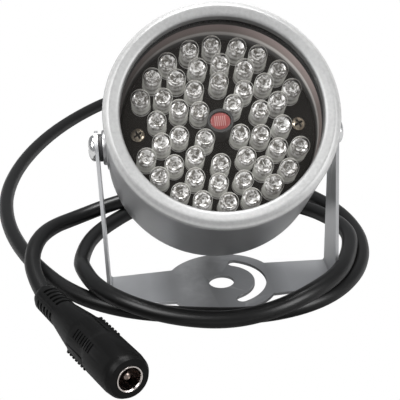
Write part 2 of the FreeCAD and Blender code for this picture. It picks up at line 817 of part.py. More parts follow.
# The stamped U bracket: disc, two wings, two bends and two round-topped arms, all of one sheet.
def bracket():
    low = -SPARE_DEPTH
    far = ARM_OUTER + SPARE_DEPTH
    top = val("pivot_height") + val("arm_end_radius") + SPARE_DEPTH
    half_depth = val("disc_radius") + SPARE_DEPTH
    strip = bracket_fold(top, 2 * half_depth)
    plan = bracket_plan(far, low, top)
    outline = bracket_side(far, low, half_depth)
    blank = doc.addObject("Part::MultiCommon", "BracketBlank")
    blank.Shapes = [strip, plan, outline]
    through = 2 * SPARE_DEPTH + val("plate_thick")
    below = FreeCAD.Placement(V(0, 0, low), NO_TURN)
    across = FreeCAD.Placement(PIVOT - V(far, 0, 0), FreeCAD.Rotation(V(0, 1, 0), 90))
    holes = [
        cylinder("CentreHole", "Sizes.disc_hole", through, below),
        curved_slot(low, through),
        cylinder("ArmHoles", "Sizes.side_screw_shank + Sizes.arm_hole_clearance", 2 * far, across),
    ]
    keep(cut("Bracket", blank, fuse("BracketHoles", holes)), "bracket")


# A pivot screw: domed head with a cross recess outside the arm, shank through to the boss.
def side_screw(side, tag):
    r = val("side_screw_head")
    h = val("side_screw_head_height")
    shank = val("side_screw_shank")
    length = val("side_screw_length")
    place = FreeCAD.Placement(PIVOT + V(side * ARM_OUTER, 0, 0), FreeCAD.Rotation(V(0, 1, 0), 90 * side))
    corners = [(0, -length), (shank, -length), (shank, 0), (r, 0)]
    corners += [(r * across, h * up) for across, up in HEAD_CURVE]
    blank = turned("SideScrewBlank" + tag, corners, place)
    depth = val("side_screw_slot_depth")
    inset = at(place, 0, 0, h - depth)
    span = val("side_screw_slot_span")
    cross = cross_bars("SideCross" + tag, span, val("side_screw_slot"), 2 * depth, inset)
    keep(cut("SideScrew" + tag, blank, cross), "side_screw_" + tag.lower())


def washer(side, tag):
    inner = val("side_screw_shank") + val("washer_clearance")
    outer = val("washer_radius")
    thick = val("washer_thick")
    place = FreeCAD.Placement(PIVOT + V(side * BOSS_OUT, 0, 0), FreeCAD.Rotation(V(0, 1, 0), 90 * side))
    corners = [(inner, 0), (outer, 0), (outer, thick), (inner, thick)]
    keep(turned("Washer" + tag, corners, place), "washer_" + tag.lower())


# Two boxes that cut the jack from both sides, from a given distance off its axis outwards.
def slot_pair(name, inner, tall, z, width):
    reach = 2 * val("jack_barrel")
    left = box(name + "Left", reach, tall, width, at(JACK, -inner - reach, -tall / 2, z))
    right = box(name + "Right", reach, tall, width, at(JACK, inner, -tall / 2, z))
    return [left, right]


# The outline of the moulding from the cord's end to the mouth, as (radius, height) corners.
def jack_outline():
    length = val("jack_length")
    relief = val("jack_relief_length")
    relief_end = val("jack_relief_end")
    barrel = val("jack_barrel")
    barrel_start = val("jack_barrel_start")
    barrel_end = val("jack_barrel_end")
    mouth = val("jack_mouth")
    return [
        (val("jack_relief_start"), 0),
        (RELIEF_CURVE[0] * relief_end, RELIEF_CURVE[1] * relief),
        (relief_end, relief),
        (val("jack_waist"), val("jack_waist_at")),
        (val("jack_shoulder"), val("jack_shoulder_at")),
        (val("jack_dip"), barrel_start - val("jack_dip_length")),
        (barrel, barrel_start),
        (barrel, length - barrel_end),
        (mouth + MOUTH_CURVE[0] * (barrel - mouth), length - MOUTH_CURVE[1] * barrel_end),
        (mouth, length),
    ]


# The radius of an outline at a height, on the straight line between two of its corners.
def radius_at(outline, z):
    for (low_r, low_z), (high_r, high_z) in zip(outline, outline[1:]):
        if low_z <= z < high_z:
            return low_r + (high_r - low_r) * (z - low_z) / (high_z - low_z)
    return outline[-1][0]


# The moulded jack: a slotted strain relief, side grips, a small panel of cross ribs, and the barrel.
def jack_body():
    length = val("jack_length")
    hole = val("jack_hole") + val("jack_sleeve_wall") + val("jack_hole_clearance")
    floor_of_hole = length - val("jack_hole_depth")
    tall = 2 * val("jack_barrel")
    outline = jack_outline()
    corners = [(0, 0)] + outline + [(hole, length), (hole, floor_of_hole), (0, floor_of_hole)]
    blank = turned("JackBlank", corners, JACK)
    cuts = []
    for i in range(RELIEF_SLOTS):
        z = val("relief_slot_start") + i * val("relief_slot_pitch")
        web = val("relief_web") / 2
        cuts += slot_pair("ReliefSlot%d" % i, web, tall, z, val("relief_slot_width"))
    for i in range(GRIP_NOTCHES):
        z = val("grip_start") + i * val("grip_pitch")
        root = radius_at(outline, z) - val("grip_depth")
        cuts += slot_pair("Grip%d" % i, root, val("grip_height"), z, val("grip_width"))
    across = val("panel_width")
    for i in range(PANEL_GROOVES):
        z = val("panel_start") + i * val("panel_pitch")
        root = radius_at(outline, z) - val("panel_depth")
        place = at(JACK, -across / 2, root, z)
        cuts.append(box("PanelGroove%d" % i, across, tall, val("panel_groove"), place))
    keep(cut("JackBody", blank, fuse("JackCuts", cuts)), "jack_body")


# The plated sleeve in the jack's mouth, the dark insert at its foot and the centre pin.
def jack_inside():
    length = val("jack_length")
    hole = val("jack_hole")
    outer = hole + val("jack_sleeve_wall")
    start = length - val("jack_hole_depth")
    front = length + val("jack_sleeve_proud")
    lip = 0.2 * val("jack_sleeve_wall")
    sleeve = [(hole, start), (outer, start), (outer, front), (hole + lip, front), (hole, front - lip)]
    keep(turned("JackSleeve", sleeve, JACK), "jack_sleeve")
    top = start + val("jack_insert_thick")
    edge = hole - val("jack_insert_clearance")
    keep(turned("JackInsert", [(0, start), (edge, start), (edge, top), (0, top)], JACK), "jack_insert")
    r = val("jack_pin_radius")
    tip = length - val("jack_pin_inset")
    pin = [(0, top), (r, top), (r, tip - 0.4 * r), (0.6 * r, tip), (0, tip)]
    keep(turned("JackPin", pin, JACK), "jack_pin")


front_ring()
front_glass()
glass_gasket()
housing()
led_board()
leds()
photocell()
board_screws()
board_standoffs()
board_resistors()
board_transistor()
cord_grommet()
inner_cord()
bracket()
for side, tag in SIDES:
    side_screw(side, tag)
    washer(side, tag)
lead()
jack_body()
jack_inside()

doc.recompute()

for obj in doc.Objects:
    if "Invalid" in obj.State or "Error" in obj.State:
        raise RuntimeError("not built: " + obj.Name)

os.makedirs("parts", exist_ok=True)
for obj in parts:
    shape = obj.Shape
    if shape.isNull() or not shape.isValid():
        raise RuntimeError("bad shape: " + obj.Label)
for obj in parts:
    obj.Shape.exportStep("parts/" + obj.Label + ".step")
    print(obj.Label, "solids", len(obj.Shape.Solids), "volume", round(obj.Shape.Volume, 1))
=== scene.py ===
# A round infrared illuminator on its stamped bracket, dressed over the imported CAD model.
# Pieces are drawn in millimetres and brought to metres when they are finished.
import bmesh
import bpy
import math
from mathutils import Matrix, Vector


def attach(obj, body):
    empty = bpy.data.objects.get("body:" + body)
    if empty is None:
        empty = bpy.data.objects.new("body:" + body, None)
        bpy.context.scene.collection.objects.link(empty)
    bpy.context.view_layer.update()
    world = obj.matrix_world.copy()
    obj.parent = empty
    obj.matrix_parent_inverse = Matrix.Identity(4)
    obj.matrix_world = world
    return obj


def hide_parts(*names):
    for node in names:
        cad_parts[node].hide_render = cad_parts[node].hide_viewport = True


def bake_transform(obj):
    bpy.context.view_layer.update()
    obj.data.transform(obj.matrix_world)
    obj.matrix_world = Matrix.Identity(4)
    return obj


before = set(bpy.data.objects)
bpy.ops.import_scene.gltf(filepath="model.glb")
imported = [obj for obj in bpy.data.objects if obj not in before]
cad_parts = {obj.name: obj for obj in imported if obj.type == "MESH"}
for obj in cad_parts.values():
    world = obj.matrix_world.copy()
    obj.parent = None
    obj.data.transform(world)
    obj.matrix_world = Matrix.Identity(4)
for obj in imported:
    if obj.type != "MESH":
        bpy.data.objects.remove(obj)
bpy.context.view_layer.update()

# Sizes and places that more than one piece needs, in millimetres.
MM = 0.001
TILT = math.radians(39.55)
PIVOT_HEIGHT = 44.04
PIVOT_DEPTH = 22.85
BOARD_DEPTH = 15.5
CORD_RADIUS = 2.3
FULL_TURN = math.tau
QUARTER_TURN = math.pi / 2

# The lamp head's own frame: X across, Y down the face, Z back from the ring's crest.
OUTWARD = Vector((0, -math.cos(TILT), math.sin(TILT)))
FACE_UP = Vector((0, math.sin(TILT), math.cos(TILT)))
FRONT = Vector((0, 0, PIVOT_HEIGHT)) + OUTWARD * PIVOT_DEPTH
HEAD_TURN = -QUARTER_TURN - TILT
HEAD = Matrix.Translation(FRONT) @ Matrix.Rotation(HEAD_TURN, 4, "X")
FLAT = Matrix.Identity(4)
TO_METRES = Matrix.Scale(MM, 4)


# The photograph's camera.
def aim_camera():
    lens = bpy.data.cameras.new("PhotoLens")
    lens.sensor_width = 36
    lens.lens = 88.74
    lens.clip_start = 10 * MM
    camera = bpy.data.objects.new("PhotoCamera", lens)
    right = Vector((0.9943054, -0.0988277, -0.0398730))
    up = Vector((0.0784433, 0.4254729, 0.9015650))
    back = right.cross(up)
    turn = Matrix((right, up, back)).transposed().to_4x4()
    camera.matrix_world = Matrix.Translation((-0.024258, -0.239586, 0.141496)) @ turn
    bpy.context.scene.collection.objects.link(camera)
    bpy.context.scene.camera = camera


aim_camera()


# Node groups that the materials share.
def new_group(name, inputs, outputs):
    tree = bpy.data.node_groups.new(name, "ShaderNodeTree")
    for label, kind, value in inputs:
        socket = tree.interface.new_socket(label, in_out="INPUT", socket_type=kind)
        socket.default_value = value
    for label, kind in outputs:
        tree.interface.new_socket(label, in_out="OUTPUT", socket_type=kind)
    enter = tree.nodes.new("NodeGroupInput")
    leave = tree.nodes.new("NodeGroupOutput")
    return tree, enter, leave


def node(tree, kind, **settings):
    made = tree.nodes.new(kind)
    for key, value in settings.items():
        setattr(made, key, value)
    return made


def join(tree, source, target):
    tree.links.new(source, target)


def object_place(tree):
    return node(tree, "ShaderNodeTexCoord").outputs["Object"]


# Coordinates of the lamp head in metres.
def head_place(tree):
    settle = node(tree, "ShaderNodeMapping", vector_type="TEXTURE")
    settle.inputs["Location"].default_value = tuple(FRONT * MM)
    settle.inputs["Rotation"].default_value = (HEAD_TURN, 0, 0)
    join(tree, object_place(tree), settle.inputs["Vector"])
    return settle.outputs["Vector"]


def axes_of(tree, place):
    split = node(tree, "ShaderNodeSeparateXYZ")
    join(tree, place, split.inputs["Vector"])
    return split.outputs


def noise_of(tree, place, **values):
    made = node(tree, "ShaderNodeTexNoise")
    join(tree, place, made.inputs["Vector"])
    for key, value in values.items():
        made.inputs[key].default_value = value
    return made


def math_node(tree, kind, first, second):
    made = node(tree, "ShaderNodeMath", operation=kind)
    for socket, value in zip(made.inputs, (first, second)):
        if isinstance(value, (int, float)):
            socket.default_value = value
        else:
            join(tree, value, socket)
    return made.outputs[0]


def blend_colour(tree, mask, first, second):
    made = node(tree, "ShaderNodeMix", data_type="RGBA")
    for socket, value in ((made.inputs[0], mask), (made.inputs[6], first), (made.inputs[7], second)):
        if isinstance(value, (int, float, tuple)):
            socket.default_value = value
        else:
            join(tree, value, socket)
    return made.outputs[2]


def multiply_colour(tree, colour, tone):
    made = node(tree, "ShaderNodeMix", data_type="RGBA", blend_type="MULTIPLY")
    made.inputs[0].default_value = 1.0
    join(tree, colour, made.inputs[6])
    join(tree, tone, made.inputs[7])
    return made.outputs[2]


def scale_colour(tree, colour, gain):
    made = node(tree, "ShaderNodeVectorMath", operation="SCALE")
    made.inputs["Scale"].default_value = gain
    join(tree, colour, made.inputs[0])
    return made.outputs["Vector"]


# Fine satin grain: soft cloudy tone and roughness over the metal, with a grit height for the bump.
def build_grain():
    tree, enter, leave = new_group(
        "SatinGrain",
        [
            ("Colour", "NodeSocketColor", (0.5, 0.5, 0.5, 1)),
            ("Roughness", "NodeSocketFloat", 0.35),
            ("Grit Scale", "NodeSocketFloat", 2600.0),
            ("Cloud Scale", "NodeSocketFloat", 60.0),
            ("Variation", "NodeSocketFloat", 0.08),
        ],
        [("Colour", "NodeSocketColor"), ("Roughness", "NodeSocketFloat"), ("Height", "NodeSocketFloat")],
    )
    place = object_place(tree)
    grit = noise_of(tree, place, Detail=3)
    cloud = noise_of(tree, place, Detail=4)
    join(tree, enter.outputs["Grit Scale"], grit.inputs["Scale"])
    join(tree, enter.outputs["Cloud Scale"], cloud.inputs["Scale"])
    centred = math_node(tree, "SUBTRACT", cloud.outputs["Fac"], 0.5)
    swing = math_node(tree, "MULTIPLY", centred, enter.outputs["Variation"])
    rough = math_node(tree, "ADD", swing, enter.outputs["Roughness"])
    tone = math_node(tree, "ADD", math_node(tree, "MULTIPLY", swing, 2.0), 1.0)
    scaled = node(tree, "ShaderNodeVectorMath", operation="SCALE")
    join(tree, enter.outputs["Colour"], scaled.inputs[0])
    join(tree, tone, scaled.inputs["Scale"])
    join(tree, scaled.outputs["Vector"], leave.inputs["Colour"])
    join(tree, rough, leave.inputs["Roughness"])
    join(tree, grit.outputs["Fac"], leave.inputs["Height"])
    return tree


# Worn edges: a brighter tone where the surface turns sharply, broken up by noise.
def build_edge_wear():
    tree, enter, leave = new_group(
        "EdgeWear",
        [
            ("Colour", "NodeSocketColor", (0.5, 0.5, 0.5, 1)),
            ("Bare Colour", "NodeSocketColor", (0.9, 0.9, 0.9, 1)),
            ("Amount", "NodeSocketFloat", 0.5),
        ],
        [("Colour", "NodeSocketColor"), ("Mask", "NodeSocketFloat")],
    )
    shape = node(tree, "ShaderNodeNewGeometry")
    noise = noise_of(tree, object_place(tree), Scale=420)
    ramp = node(tree, "ShaderNodeValToRGB")
    ramp.color_ramp.elements[0].position = 0.52
    ramp.color_ramp.elements[1].position = 0.6
    join(tree, shape.outputs["Pointiness"], ramp.inputs["Fac"])
    broken = math_node(tree, "MULTIPLY", ramp.outputs["Color"], noise.outputs["Fac"])
    mask = math_node(tree, "MULTIPLY", broken, enter.outputs["Amount"])
    colour = blend_colour(tree, mask, enter.outputs["Colour"], enter.outputs["Bare Colour"])
    join(tree, colour, leave.inputs["Colour"])
    join(tree, mask, leave.inputs["Mask"])
    return tree


# Fine pale dust on the faces that look up, in specks.
def build_dust():
    tree, enter, leave = new_group(
        "DustFilm",
        [
            ("Colour", "NodeSocketColor", (0.5, 0.5, 0.5, 1)),
            ("Dust Colour", "NodeSocketColor", (0.45, 0.43, 0.4, 1)),
            ("Amount", "NodeSocketFloat", 0.1),
        ],
        [("Colour", "NodeSocketColor"), ("Mask", "NodeSocketFloat")],
    )
    normal = axes_of(tree, node(tree, "ShaderNodeNewGeometry").outputs["Normal"])
    speck = noise_of(tree, object_place(tree), Scale=900, Detail=5)
    upward = math_node(tree, "MAXIMUM", normal["Z"], 0.0)
    patchy = math_node(tree, "MULTIPLY", upward, speck.outputs["Fac"])
    mask = math_node(tree, "MULTIPLY", patchy, enter.outputs["Amount"])
    colour = blend_colour(tree, mask, enter.outputs["Colour"], enter.outputs["Dust Colour"])
    join(tree, colour, leave.inputs["Colour"])
    join(tree, mask, leave.inputs["Mask"])
    return tree


# How much a face looks along a direction, from 0 (away) to 1 (straight along it).
def build_facing():
    tree, enter, leave = new_group(
        "FacingMask",
        [("Direction", "NodeSocketVector", (0.0, 0.0, 1.0))],
        [("Mask", "NodeSocketFloat")],
    )
    dot = node(tree, "ShaderNodeVectorMath", operation="DOT_PRODUCT")
    join(tree, node(tree, "ShaderNodeNewGeometry").outputs["Normal"], dot.inputs[0])
    join(tree, enter.outputs["Direction"], dot.inputs[1])
    raised = math_node(tree, "ADD", dot.outputs["Value"], 1.0)
    join(tree, math_node(tree, "MULTIPLY", raised, 0.5), leave.inputs["Mask"])
    return tree


GRAIN = build_grain()
EDGE_WEAR = build_edge_wear()
DUST = build_dust()
FACING = build_facing()


def use_group(tree, group, **values):
    made = node(tree, "ShaderNodeGroup", node_tree=group)
    for key, value in values.items():
        made.inputs[key.replace("_", " ")].default_value = value
    return made


def shader_of(material):
    return material.node_tree.nodes["Principled BSDF"]


# One finish from the shared groups: grain, then worn edges, then dust, with a grit bump.
def finish(
    name,
    colour,
    roughness,
    metallic,
    wear=0.0,
    bare=(0.9, 0.9, 0.9, 1),
    dust=0.0,
    bump=0.08,
    cloud=60.0,
    variation=0.08,
    coat=0.0,
    specular=0.5,
):
    material = bpy.data.materials.new(name)
    material.use_nodes = True
    tree = material.node_tree
    shader = shader_of(material)
    grain = use_group(
        tree,
        GRAIN,
        Colour=(*colour, 1),
        Roughness=roughness,
        Cloud_Scale=cloud,
        Variation=variation,
    )
    worn = use_group(tree, EDGE_WEAR, Bare_Colour=bare, Amount=wear)
    dusty = use_group(tree, DUST, Amount=dust)
    join(tree, grain.outputs["Colour"], worn.inputs["Colour"])
    join(tree, worn.outputs["Colour"], dusty.inputs["Colour"])
    join(tree, dusty.outputs["Colour"], shader.inputs["Base Color"])
    join(tree, grain.outputs["Roughness"], shader.inputs["Roughness"])
    grit = node(tree, "ShaderNodeBump")
    grit.inputs["Strength"].default_value = bump
    grit.inputs["Distance"].default_value = 0.02 * MM
    join(tree, grain.outputs["Height"], grit.inputs["Height"])
    join(tree, grit.outputs["Normal"], shader.inputs["Normal"])
    shader.inputs["Metallic"].default_value = metallic
    shader.inputs["Coat Weight"].default_value = coat
    shader.inputs["Specular IOR Level"].default_value = specular
    return material


def ramp_of(tree, source, stops):
    ramp = node(tree, "ShaderNodeValToRGB")
    bar = ramp.color_ramp.elements
    while len(bar) < len(stops):
        bar.new(0.5)
    for element, (position, value) in zip(bar, stops):
        element.position = position
        colour = value if isinstance(value, tuple) else (value, value, value)
        element.color = (*colour, 1)
    join(tree, source, ramp.inputs["Fac"])
    return ramp.outputs["Color"]


# How far a coordinate has gone along a span, from 0 to 1. Start and span are in millimetres.
def share_of(tree, source, start, span):
    gone = math_node(tree, "SUBTRACT", source, start * MM)
    return math_node(tree, "MULTIPLY", gone, 1 / (span * MM))


def facing_of(tree, direction):
    return use_group(tree, FACING, Direction=tuple(direction)).outputs["Mask"]


def own_colour(shader):
    return shader.inputs["Base Color"].links[0].from_socket


# A colour that also glows a little: painted light, for what the dome or the window gathers from the
# room.
def paint_glow_with(tree, shader, colour, strength):
    join(tree, colour, shader.inputs["Base Color"])
    join(tree, colour, shader.inputs["Emission Color"])
    shader.inputs["Emission Strength"].default_value = strength


# The window pane: nearly clear face on, and more opaque where it is seen at a slant, where a painted
# reflection makes it paler.
def window_finish():
    material = finish(
        "window_glass", (0.12, 0.11, 0.1), 0.03, 0.0, bump=0.01, variation=0.02, specular=0.3
    )
    tree = material.node_tree
    shader = shader_of(material)
    slant = node(tree, "ShaderNodeLayerWeight")
    slant.inputs["Blend"].default_value = 0.35
    clearest = 0.03
    dullest = 0.25
    span = math_node(tree, "MULTIPLY", slant.outputs["Facing"], dullest - clearest)
    join(tree, math_node(tree, "ADD", span, clearest), shader.inputs["Alpha"])
    # Painted reflection: the pane's colour turns pale grey where it is seen at a slant.
    painted_slant_reflection = blend_colour(tree, slant.outputs["Facing"], own_colour(shader), (0.4, 0.4, 0.4, 1))
    join(tree, painted_slant_reflection, shader.inputs["Base Color"])
    return material


# The LED's clear shell: thin and glossy over the dome, its colour painted light: pale and dark bands
# down the barrel with mottled glints, a painted dark reflection in a crescent at the top of the dome,
# a painted highlight on the rim and a little painted glow. Its far side is left open.
def led_shell_finish():
    material = finish("led_clear_resin", (0.3, 0.32, 0.3), 0.08, 0.0, bump=0.01, variation=0.05)
    tree = material.node_tree
    shader = shader_of(material)
    place = head_place(tree)
    depth = share_of(tree, axes_of(tree, place)["Z"], start=6.0, span=10.0)
    # Painted light: pale and dark bands by depth down the barrel, for the light the glass bends.
    bands_with_painted_light = ramp_of(tree, depth, [
        (0.0, 0.5), (0.22, 0.7), (0.28, 0.06), (0.36, 0.08), (0.42, 0.7), (0.5, 0.75), (0.55, 0.06),
        (0.64, 0.08), (0.69, 0.8), (0.77, 0.7), (0.81, 0.05), (0.88, 0.08), (0.92, 0.95), (1.0, 0.8),
    ])
    cover = ramp_of(tree, depth, [
        (0.0, 0.0), (0.14, 0.02), (0.2, 0.12), (0.26, 0.5), (0.4, 0.65), (0.6, 0.66), (0.8, 0.8),
        (1.0, 0.9),
    ])
    # Painted glints: bright and dark mottled patches.
    painted_glint_noise = noise_of(tree, place, Scale=620, Detail=1, Distortion=1.2)
    painted_glint_mottle = ramp_of(tree, painted_glint_noise.outputs["Fac"], [
        (0.0, 0.04), (0.4, 0.08), (0.5, 0.55), (0.57, 1.0), (0.64, 0.2),
    ])
    # Painted light: light and dark striping by how far a face looks across.
    painted_refraction_stripes = ramp_of(tree, facing_of(tree, (1.0, 0.0, 0.0)), [
        (0.0, 0.5), (0.06, 0.05), (0.18, 0.75), (0.26, 0.08), (0.42, 0.3), (0.52, 0.9), (0.6, 0.1),
        (0.74, 0.35), (0.84, 0.85), (0.92, 0.06), (1.0, 0.5),
    ])
    painted_refraction_marbling = blend_colour(tree, 0.4, bands_with_painted_light, blend_colour(tree, 0.5, painted_glint_mottle, painted_refraction_stripes))
    # Painted dark reflection: a dark crescent on the dome's faces that look up the lamp's face.
    crescent = ramp_of(tree, facing_of(tree, FACE_UP), [
        (0.0, 0.0), (0.73, 0.0), (0.8, 0.8), (0.92, 0.9), (1.0, 0.75),
    ])
    dome = ramp_of(tree, depth, [(0.0, 1.0), (0.24, 1.0), (0.3, 0.0)])
    dark = math_node(tree, "MULTIPLY", crescent, dome)
    # Painted highlight: a pale rim where the shell is seen at a slant.
    rim = node(tree, "ShaderNodeLayerWeight")
    rim.inputs["Blend"].default_value = 0.3
    edge = ramp_of(tree, rim.outputs["Facing"], [(0.0, 0.0), (0.5, 0.0), (0.6, 0.75), (0.8, 0.95)])
    with_painted_dark_reflection = blend_colour(tree, dark, painted_refraction_marbling, (0.012, 0.012, 0.014, 1))
    warm_painted_light = blend_colour(tree, 0.15, with_painted_dark_reflection, (0.4, 0.36, 0.28, 1))
    paint_glow_with(tree, shader, blend_colour(tree, edge, warm_painted_light, (0.8, 0.8, 0.74, 1)), strength=0.22)
    alpha = math_node(tree, "MAXIMUM", math_node(tree, "MAXIMUM", cover, dark), edge)
    far_side = node(tree, "ShaderNodeNewGeometry").outputs["Backfacing"]
    near_side = math_node(tree, "SUBTRACT", 1.0, far_side)
    join(tree, math_node(tree, "MULTIPLY", alpha, near_side), shader.inputs["Alpha"])
    return material


# The reflector dish as the dome shows it: broken bright and dark painted glints, a painted highlight
# brighter at the lower right, and a little painted glow.
def led_dish_finish():
    material = finish("led_dish_silver", (0.7, 0.7, 0.68), 0.22, 0.35, bump=0.01, variation=0.05)
    tree = material.node_tree
    # Painted glints: noise broken into bright and dark specks.
    glint = noise_of(tree, head_place(tree), Scale=1050, Detail=1.5, Distortion=0.8)
    broken = ramp_of(tree, glint.outputs["Fac"], [
        (0.0, 0.015), (0.4, 0.03), (0.46, 0.25), (0.54, 0.42), (0.6, 0.9),
    ])
    # Painted highlight: faces that look along this lean, towards the lower right, are painted brighter.
    lean = (FACE_UP * 0.55 + Vector((-0.55, 0, 0)) + OUTWARD * 0.63).normalized()
    shade = ramp_of(tree, facing_of(tree, lean), [(0.0, 0.3), (0.55, 0.5), (0.8, 0.95), (1.0, 1.0)])
    warm_painted_light = blend_colour(tree, 0.22, multiply_colour(tree, broken, shade), (0.36, 0.33, 0.28, 1))
    paint_glow_with(tree, shader_of(material), warm_painted_light, strength=0.35)
    return material


# The ring's satin face by radius, with painted light and shade: a painted darker inner lip, and a
# painted brighter crest and outer bevel.
def ring_finish():
    material = finish(
        "bright_ring_aluminium", (0.28, 0.28, 0.278), 0.42, 0.3, bump=0.16, cloud=1300.0, variation=0.2
    )
    tree = material.node_tree
    shader = shader_of(material)
    axes = axes_of(tree, head_place(tree))
    across = math_node(tree, "POWER", axes["X"], 2.0)
    down = math_node(tree, "POWER", axes["Y"], 2.0)
    radius = math_node(tree, "SQRT", math_node(tree, "ADD", across, down), 0.0)
    # Painted light and shade: the tone by radius, dark at the lip and bright at the crest and bevel.
    tone = ramp_of(tree, share_of(tree, radius, start=24.0, span=5.0), [
        (0.0, 0.3), (0.165, 0.3), (0.2, 0.5), (0.26, 0.6), (0.6, 0.63), (0.84, 0.7), (0.93, 0.95),
        (1.0, 1.0),
    ])
    painted_light_toned = multiply_colour(tree, own_colour(shader), tone)
    join(tree, scale_colour(tree, painted_light_toned, gain=1.55), shader.inputs["Base Color"])
    return material


# The bracket's steel with painted light from side to side: the wings and the arms are painted brighter
# than the disc.
def bracket_finish():
    material = finish(
        "brushed_bracket_steel", (0.52, 0.525, 0.535), 0.34, 0.9, wear=0.7, dust=0.04, bump=0.14
    )
    tree = material.node_tree
    shader = shader_of(material)
    across = share_of(tree, axes_of(tree, object_place(tree))["X"], start=-31.25, span=62.5)
    # Painted light: the tone across the bracket, bright at the wings and arms and dim over the disc.
    tone = ramp_of(tree, across, [
        (0.0, 1.0), (0.18, 1.0), (0.27, 0.66), (0.5, 0.56), (0.72, 0.66), (0.8, 0.98), (0.95, 0.9),
        (1.0, 0.7),
    ])
    painted_light_toned = multiply_colour(tree, own_colour(shader), tone)
    join(tree, scale_colour(tree, painted_light_toned, gain=1.35), shader.inputs["Base Color"])
    return material


RING_METAL = ring_finish()
HOUSING_METAL = finish(
    "satin_housing_aluminium", (0.33, 0.33, 0.333), 0.36, 0.95, wear=0.3, dust=0.03, bump=0.12
)
BRACKET_METAL = bracket_finish()
SCREW_CHROME = finish("chromed_screw", (0.8, 0.8, 0.8), 0.16, 1.0, wear=0.2)
WASHER_DARK = finish("dark_washer_rubber", (0.03, 0.03, 0.032), 0.55, 0.0, dust=0.1)
CORD_BLACK = finish("cord_black", (0.004, 0.004, 0.004), 0.34, 0.0, bump=0.06, specular=0.3)
JACK_BLACK = finish(
    "jack_black", (0.004, 0.004, 0.004), 0.36, 0.0, wear=0.1, bare=(0.04, 0.04, 0.04, 1), specular=0.06
)
RUBBER_BLACK = finish("gland_rubber", (0.02, 0.02, 0.021), 0.6, 0.0, dust=0.1)
SLEEVE_GREY = finish("sensor_sleeve_grey", (0.03, 0.03, 0.03), 0.5, 0.0, specular=0.25)
NICKEL = finish("bright_nickel", (0.62, 0.57, 0.54), 0.2, 1.0)
SOCKET_BROWN = finish("socket_insert", (0.06, 0.035, 0.026), 0.5, 0.0)
# The socket's pin: nickel painted dark, a painted shade for the inside of the socket.
SHADED_PIN_NICKEL = finish("socket_pin_nickel_painted_shade", (0.22, 0.18, 0.16), 0.3, 1.0)
BOARD_BLACK = finish("lamp_board_black", (0.006, 0.0052, 0.0045), 0.5, 0.0, specular=0.1)
LED_CLEAR = led_shell_finish()
WINDOW_GLASS = window_finish()
DISH_SILVER = led_dish_finish()
SCREW_BRASS = finish("brass_screw", (0.55, 0.47, 0.36), 0.25, 1.0, wear=0.3)
# Painted shade for the screws' cross recesses.
RECESS_PAINTED_SHADE = finish("screw_recess_painted_shade", (0.03, 0.025, 0.02), 0.5, 0.4)
PILLAR_BRASS = finish("brass_pillar", (0.6, 0.46, 0.22), 0.35, 1.0)
RESISTOR_BLUE = finish("resistor_lacquer", (0.16, 0.3, 0.4), 0.3, 0.0, coat=0.4)
WIRE_RED = finish("red_wire", (0.55, 0.03, 0.02), 0.4, 0.0)


# Building helpers. Pieces are drawn in millimetres, turned about Z, and then placed.
def close_up(bm):
    bmesh.ops.remove_doubles(bm, verts=bm.verts, dist=0.0005)
    bmesh.ops.recalc_face_normals(bm, faces=bm.faces)


# Turns an outline of radius and depth. A ring's outline also closes on itself.
def spin_outline(bm, outline, steps, ring=False):
    rail = [bm.verts.new((r, 0, z)) for r, z in outline]
    pairs = list(zip(rail, rail[1:]))
    if ring:
        pairs.append((rail[-1], rail[0]))
    edges = [bm.edges.new(pair) for pair in pairs]
    bmesh.ops.spin(
        bm,
        geom=rail + edges,
        cent=(0, 0, 0),
        axis=(0, 0, 1),
        angle=FULL_TURN,
        steps=steps,
        use_merge=True,
    )


def block(bm, low, high):
    size = Vector(high) - Vector(low)
    middle = (Vector(high) + Vector(low)) / 2
    bmesh.ops.create_cube(bm, size=1, matrix=Matrix.Translation(middle) @ Matrix.Diagonal((*size, 1)))


def piece(name, bm, place, material, sharp=30.0):
    bm.transform(TO_METRES @ place)
    mesh = bpy.data.meshes.new(name)
    bm.to_mesh(mesh)
    bm.free()
    mesh.polygons.foreach_set("use_smooth", [True] * len(mesh.polygons))
    mesh.set_sharp_from_angle(angle=math.radians(sharp))
    mesh.materials.append(material)
    thing = bpy.data.objects.new(name, mesh)
    bpy.context.scene.collection.objects.link(thing)
    return thing


def turned_piece(name, outline, place, material, steps, ring=False):
    bm = bmesh.new()
    spin_outline(bm, outline, steps, ring)
    close_up(bm)
    return piece(name, bm, place, material)


# A mesh to copy from, made once by a builder.
def mesh_from(builder, *values):
    bm = bmesh.new()
    builder(bm, *values)
    mesh = bpy.data.meshes.new("pattern")
    bm.to_mesh(mesh)
    bm.free()
    return mesh


def soften(thing, width, angle):
    bevel = thing.modifiers.new("SoftEdges", "BEVEL")
    bevel.width = width * MM
    bevel.segments = 2
    bevel.limit_method = "ANGLE"
    bevel.angle_limit = math.radians(angle)


def stand_for(thing, body, slot, *nodes):
    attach(thing, body)
    if nodes:
        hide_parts(*nodes)


def paint_node(name, material):
    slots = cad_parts[name].data.materials
    slots.clear()
    slots.append(material)


# A clean copy of a CAD solid: welded, its flat faces joined again, ready for softened edges.
def copy_of(name, new_name, material):
    bm = bmesh.new()
    bm.from_mesh(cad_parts[name].data)
    bmesh.ops.remove_doubles(bm, verts=bm.verts, dist=0.002 * MM)
    bmesh.ops.dissolve_limit(bm, angle_limit=0.01, verts=bm.verts, edges=bm.edges)
    bm.transform(Matrix.Scale(1 / MM, 4))
    return piece(new_name, bm, FLAT, material)


